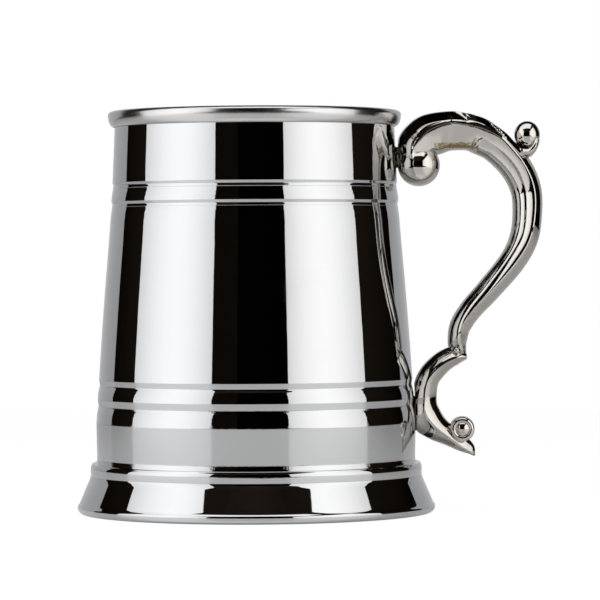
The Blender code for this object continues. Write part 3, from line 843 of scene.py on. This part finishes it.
# %% The round ends
def ball(name, centre, radius, half_width, half_height=None):
    """A ball with its poles towards the two sides of the handle, in millimetres."""
    bpy.ops.object.select_all(action="DESELECT")
    bpy.ops.mesh.primitive_uv_sphere_add(
        segments=64,
        ring_count=32,
        radius=radius * MM,
        location=(AXIS_X + centre[0] * MM, 0, centre[1] * MM),
        rotation=(math.pi / 2, 0, 0),
    )
    piece = bpy.context.object
    piece.name = name
    bpy.ops.object.mode_set(mode="EDIT")
    stretch = (1, half_width / radius, (half_height or radius) / radius)
    bpy.ops.transform.resize(value=stretch, center_override=piece.location)
    bpy.ops.object.mode_set(mode="OBJECT")
    print(name, "is a ball of", radius, "mm radius")
    return piece


volute = ball("volute", (49.05, 103.6), 6.35, 6.75)
knob = ball("knob", (81.5, 112.5), 3.85, 3.85, 4.1)
end_ball = ball("end_ball", (61.7, 24.7), 3.75, 4.6)
cusp_curl = ball("cusp_curl", (59.98, 48.2), 1.9, 5.2)

RING_X, RING_Y, RING_Z = 61.6, 3.3, 24.6
RING_RADIUS, RING_WIRE = 2.7, 0.95
rings = []
for side in (-1, 1):
    bpy.ops.object.select_all(action="DESELECT")
    bpy.ops.mesh.primitive_torus_add(
        location=(AXIS_X + RING_X * MM, side * RING_Y * MM, RING_Z * MM),
        rotation=(math.pi / 2, 0, 0),
        major_segments=64,
        minor_segments=24,
        major_radius=RING_RADIUS * MM,
        minor_radius=RING_WIRE * MM,
    )
    rings.append(bpy.context.object)

# %% Join the handle
# The ends towards the wall are cut off flat, leaning with the wall.
UPPER_SEAT, LOWER_SEAT = (42.75, 105.2), (47.9, 29.1)
SEAT_LEAN = 0.05
handle_parts = (grip, cheek, bud, lower_scroll, tongue, leaf, volute, knob, end_ball, cusp_curl, *rings)
for part, (seat_x, seat_z) in (
    (grip, UPPER_SEAT),
    (leaf, UPPER_SEAT),
    (volute, UPPER_SEAT),
    (lower_scroll, LOWER_SEAT),
):
    bpy.ops.object.select_all(action="DESELECT")
    bpy.context.view_layer.objects.active = part
    part.select_set(True)
    bpy.ops.object.mode_set(mode="EDIT")
    bpy.ops.mesh.select_all(action="SELECT")
    bpy.ops.mesh.bisect(
        plane_co=(AXIS_X + seat_x * MM, 0, seat_z * MM),
        plane_no=(1, 0, SEAT_LEAN),
        use_fill=True,
        clear_inner=True,
    )
    bpy.ops.object.mode_set(mode="OBJECT")
bpy.ops.object.select_all(action="DESELECT")
for part in handle_parts:
    part.select_set(True)
bpy.context.view_layer.objects.active = grip
bpy.ops.object.join()
handle = bpy.context.object
handle.name = "handle"
handle.data.name = "handle"
finish_shape(handle, sharp=20)

# %% [markdown]
# ### The braze
# The casting is brazed to the wall at two pads. The braze wets both metals, so each pad is a short
# oval neck that widens towards the wall and towards the casting.

# %% Sweep the two necks of braze
NECK_STEPS, NECK_SIDES = 12, 48
NECK_FLARE = 0.22


def neck(name, start, end, z, half_height, half_width):
    """An oval neck between two places on the x axis, in millimetres, flared at both ends."""
    rings = []
    angles = [k * math.tau / NECK_SIDES for k in range(NECK_SIDES)]
    for i in range(NECK_STEPS + 1):
        share = i / NECK_STEPS
        flare = 1 + NECK_FLARE * (2 * share - 1) ** 2
        x = start + (end - start) * share
        wide, tall = half_width * flare, half_height * flare
        rings.append([(x, wide * math.cos(angle), z + tall * math.sin(angle)) for angle in angles])
    piece = swept(name, rings)
    finish_shape(piece)
    return piece


upper_neck = neck("upper_neck", 41.9, 44.2, 105.9, 3.0, 2.9)
lower_neck = neck("lower_neck", 47.0, 49.0, 29.2, 5.0, 2.4)

# %% [markdown]
# ## Metal
# Everything is metal, so each finish is one Principled shader, fully metallic. What makes polished
# steel look real is what isn't perfect: the sheet waves by about a tenth of a degree, the buffing
# wheel leaves fine lines that run round the drum, and fingers leave faint smudges. These effects come
# from two node groups: one for the relief, with values of its own in every finish, and one for the
# smudges. The braze isn't polished, and its dark brown is partly its own duller metal and partly
# painted shade for the narrow gap between the wall and the handle. One patch under the arch of the
# handle isn't polished either, and it is tinted gold-brown.

# %% The relief group: waves, buffing lines and pits
SCALES = ("Wave scale", "Ripple scale", "Line scale")
HEIGHTS = ("Wave height", "Ripple height", "Line height", "Pit height")
PIT_SCALE, PIT_SIZE = 420, 0.12


def add_socket(group, name, way, value=None):
    """Add a named number as input or output of a node group."""
    socket = group.interface.new_socket(name=name, in_out=way, socket_type="NodeSocketFloat")
    if value is not None:
        socket.default_value = value


def noise_node(tree, place, scale, detail=2.0):
    """Add a Noise Texture at a place and scale."""
    node = tree.nodes.new("ShaderNodeTexNoise")
    node.inputs["Detail"].default_value = detail
    tree.links.new(place, node.inputs["Vector"])
    if isinstance(scale, (int, float)):
        node.inputs["Scale"].default_value = scale
    else:
        tree.links.new(scale, node.inputs["Scale"])
    return node.outputs["Fac"]


relief = bpy.data.node_groups.new("polish_relief", "ShaderNodeTree")
for label in SCALES + HEIGHTS:
    add_socket(relief, label, "INPUT")
add_socket(relief, "Height", "OUTPUT")
given = relief.nodes.new("NodeGroupInput").outputs
spot, split = object_place(relief)
level = relief.nodes.new("ShaderNodeCombineXYZ")
relief.links.new(split["Z"], level.inputs["Z"])
cloud = noise_node(relief, spot, given["Wave scale"], 1.0)
waves = math_node(relief, "MULTIPLY", cloud, given["Wave height"])
cloud = noise_node(relief, spot, given["Ripple scale"])
ripples = math_node(relief, "MULTIPLY_ADD", cloud, given["Ripple height"], waves)
cloud = noise_node(relief, level.outputs[0], given["Line scale"], 3.0)
lines = math_node(relief, "MULTIPLY_ADD", cloud, given["Line height"], ripples)
pits = relief.nodes.new("ShaderNodeTexVoronoi")
pits.inputs["Scale"].default_value = PIT_SCALE
relief.links.new(spot, pits.inputs["Vector"])
pit_mask = math_node(relief, "SUBTRACT", PIT_SIZE, pits.outputs["Distance"])
pit_mask = math_node(relief, "MAXIMUM", pit_mask, 0.0)
total = math_node(relief, "MULTIPLY", pit_mask, given["Pit height"])
total = math_node(relief, "SUBTRACT", lines, total)
relief.links.new(total, relief.nodes.new("NodeGroupOutput").inputs["Height"])
print("polish_relief has", len(relief.nodes), "nodes")

# %% The handling group: smudges
SMUDGE_SCALE, SMUDGE_SHARE, FULL_SMUDGE = 60, 0.45, 0.85
handling = bpy.data.node_groups.new("handling", "ShaderNodeTree")
add_socket(handling, "Smudge scale", "INPUT", SMUDGE_SCALE)
add_socket(handling, "Smudge share", "INPUT", SMUDGE_SHARE)
add_socket(handling, "Smudge", "OUTPUT")
given = handling.nodes.new("NodeGroupInput").outputs
spot = handling.nodes.new("ShaderNodeTexCoord").outputs["Object"]
cloud = noise_node(handling, spot, given["Smudge scale"], 5.0)
edge = math_node(handling, "SUBTRACT", 1.0, given["Smudge share"])
smudge = handling.nodes.new("ShaderNodeMapRange")
smudge.interpolation_type = "SMOOTHSTEP"
smudge.inputs["From Max"].default_value = FULL_SMUDGE
handling.links.new(cloud, smudge.inputs["Value"])
handling.links.new(edge, smudge.inputs["From Min"])
handling.links.new(smudge.outputs["Result"], handling.nodes.new("NodeGroupOutput").inputs["Smudge"])
print("handling has", len(handling.nodes), "nodes")


# %% A steel finish
RAGGED_TOP = 40
GRAIN_SCALE, GRAIN_SHARE = 1500, 0.9
PATCH_CORE, PATCH_EDGE = 1.2, 1.7
SHADE_START, SHADE_END, SHADE_DARK = 0.35, 0.62, 0.45


def steel(name, colours, roughness, scales, heights):
    """A metal: colours and roughness fresh and dull, mixed by the smudges, and its relief as bump."""
    material, tree, output = new_material(name)
    shader = tree.nodes.new("ShaderNodeBsdfPrincipled")
    shader.inputs["Metallic"].default_value = 1
    touch = tree.nodes.new("ShaderNodeGroup")
    touch.node_tree = handling
    tint = tree.nodes.new("ShaderNodeMix")
    tint.data_type = "RGBA"
    tint.inputs["A"].default_value = (*colours[0], 1)
    tint.inputs["B"].default_value = (*colours[1], 1)
    shine = tree.nodes.new("ShaderNodeMapRange")
    shine.inputs["To Min"].default_value = roughness[0]
    shine.inputs["To Max"].default_value = roughness[1]
    surface = tree.nodes.new("ShaderNodeGroup")
    surface.name = "relief"
    surface.node_tree = relief
    for label, value in zip(SCALES + HEIGHTS, (*scales, *[height * MM for height in heights])):
        surface.inputs[label].default_value = value
    bump = tree.nodes.new("ShaderNodeBump")
    bump.inputs["Distance"].default_value = 1
    tree.links.new(touch.outputs["Smudge"], tint.inputs["Factor"])
    tree.links.new(touch.outputs["Smudge"], shine.inputs["Value"])
    tree.links.new(tint.outputs["Result"], shader.inputs["Base Color"])
    tree.links.new(shine.outputs["Result"], shader.inputs["Roughness"])
    tree.links.new(surface.outputs["Height"], bump.inputs["Height"])
    tree.links.new(bump.outputs["Normal"], shader.inputs["Normal"])
    tree.links.new(shader.outputs[0], output.inputs["Surface"])
    return material


def ragged_by_height(material, stops, height):
    """Make the ripples stronger at some heights, where the foot was joined with solder and the steps
    rolled.
    """
    tree = material.node_tree
    span = tree.nodes.new("ShaderNodeMapRange")
    span.inputs["From Max"].default_value = RAGGED_TOP * MM
    tree.links.new(object_place(tree)[1]["Z"], span.inputs["Value"])
    rows = [(z / RAGGED_TOP, value) for z, value in [stops[0], stops[-1]] + stops[1:-1]]
    amount = math_node(tree, "MULTIPLY", grey_ramp(tree, span.outputs["Result"], rows), height)
    tree.links.new(amount, tree.nodes["relief"].inputs["Ripple height"])


def dull_patch(material, centre, reach, colour, roughness):
    """A rougher patch of another colour: a box on the x and z axes with grainy edges."""
    tree = material.node_tree
    place, split = object_place(tree)
    grain = noise_node(tree, place, GRAIN_SCALE, 3.0)
    mask = None
    for axis, middle, half in (("X", centre[0], reach[0]), ("Z", centre[1], reach[1])):
        away = math_node(tree, "SUBTRACT", split[axis], middle)
        away = math_node(tree, "ABSOLUTE", away)
        away = math_node(tree, "MULTIPLY_ADD", grain, half * GRAIN_SHARE, away)
        span = tree.nodes.new("ShaderNodeMapRange")
        span.interpolation_type = "SMOOTHSTEP"
        span.inputs["From Min"].default_value = half * PATCH_CORE
        span.inputs["From Max"].default_value = half * PATCH_EDGE
        span.inputs["To Min"].default_value = 1
        span.inputs["To Max"].default_value = 0
        tree.links.new(away, span.inputs["Value"])
        share = span.outputs["Result"]
        mask = share if mask is None else math_node(tree, "MULTIPLY", mask, share)
    shader = tree.nodes["Principled BSDF"]
    tint = tree.nodes.new("ShaderNodeMix")
    tint.data_type = "RGBA"
    shade = tree.nodes.new("ShaderNodeValToRGB")
    shade.color_ramp.elements[0].position = SHADE_START
    shade.color_ramp.elements[0].color = (*[SHADE_DARK * value for value in colour], 1)
    shade.color_ramp.elements[1].position = SHADE_END
    shade.color_ramp.elements[1].color = (*colour, 1)
    tree.links.new(grain, shade.inputs["Fac"])
    tree.links.new(shade.outputs["Color"], tint.inputs["B"])
    tree.links.new(mask, tint.inputs["Factor"])
    tree.links.new(shader.inputs["Base Color"].links[0].from_socket, tint.inputs["A"])
    tree.links.new(tint.outputs["Result"], shader.inputs["Base Color"])
    rough = tree.nodes.new("ShaderNodeMix")
    rough.inputs["B"].default_value = roughness
    tree.links.new(mask, rough.inputs["Factor"])
    tree.links.new(shader.inputs["Roughness"].links[0].from_socket, rough.inputs["A"])
    tree.links.new(rough.outputs["Result"], shader.inputs["Roughness"])


# %% The five finishes
# Each has its colour and roughness fresh and dull, the scales of its waves, ripples and buffing
# lines, and in millimetres the heights of these three and of its pits.
RAGGED = [(14.0, 0.03), (15.0, 0.3), (15.6, 0.9), (16.2, 0.9), (16.6, 0.05), (26.4, 0.04), (26.9, 0.5)]
RAGGED += [(27.5, 0.5), (28.3, 0.04), (31.3, 0.05), (31.9, 0.9), (32.5, 0.9), (33.2, 0.05), (40.0, 0.02)]
RAGGED_HEIGHT = 0.022 * MM
PATCH_CENTRE = (AXIS_X + 59.7 * MM, 109.4 * MM)
PATCH_REACH = (5.6 * MM, 0.8 * MM)
PATCH_COLOUR, PATCH_ROUGHNESS = (0.46, 0.37, 0.22), 0.28

polished = steel(
    "polished_steel",
    colours=((0.555, 0.56, 0.565), (0.54, 0.545, 0.55)),
    roughness=(0.025, 0.06),
    scales=(200, 2400, 2600),
    heights=(0.006, 0, 0.0002, 0),
)
ragged_by_height(polished, RAGGED, RAGGED_HEIGHT)
satin = steel(
    "satin_steel",
    colours=((0.575, 0.57, 0.56), (0.55, 0.545, 0.53)),
    roughness=(0.19, 0.25),
    scales=(900, 3500, 4000),
    heights=(0.01, 0.002, 0, 0),
)
inner = steel(
    "inner_steel",
    colours=((0.54, 0.54, 0.54), (0.47, 0.465, 0.455)),
    roughness=(0.22, 0.36),
    scales=(300, 900, 3200),
    heights=(0.01, 0, 0.004, 0),
)
cast = steel(
    "cast_steel",
    colours=((0.565, 0.54, 0.505), (0.53, 0.505, 0.47)),
    roughness=(0.035, 0.09),
    scales=(450, 1600, 4000),
    heights=(0.012, 0.0008, 0, 0.01),
)
dull_patch(cast, PATCH_CENTRE, PATCH_REACH, PATCH_COLOUR, PATCH_ROUGHNESS)
# Dark brown: partly the braze's own duller metal, partly painted shade for the narrow gap between wall
# and handle.
solder_with_painted_shade = steel(
    "solder_with_painted_shade",
    colours=((0.10, 0.08, 0.06), (0.06, 0.05, 0.035)),
    roughness=(0.16, 0.35),
    scales=(900, 3000, 4000),
    heights=(0.03, 0.006, 0, 0.04),
)
print("finishes:", [metal.name for metal in (polished, satin, inner, cast, solder_with_painted_shade)])

# %% Give every piece its finish and its place on the tankard
for piece, metal, slot, node in (
    (wall, polished, "polished_steel", "body_drum"),
    (rim, satin, "polished_steel", "rim_ring"),
    (foot, polished, "polished_steel", "foot_skirt"),
    (cup_floor, inner, "inner_steel", "floor_disc"),
    (solder_ring, solder_with_painted_shade, "solder", "foot_solder"),
    (handle, cast, "cast_steel", "scroll_handle"),
    (upper_neck, solder_with_painted_shade, "solder", "upper_braze"),
    (lower_neck, solder_with_painted_shade, "solder", "lower_braze"),
):
    piece.data.materials.clear()
    piece.data.materials.append(metal)
    settle(piece, slot, node)
    print(piece.name, "wears", metal.name)
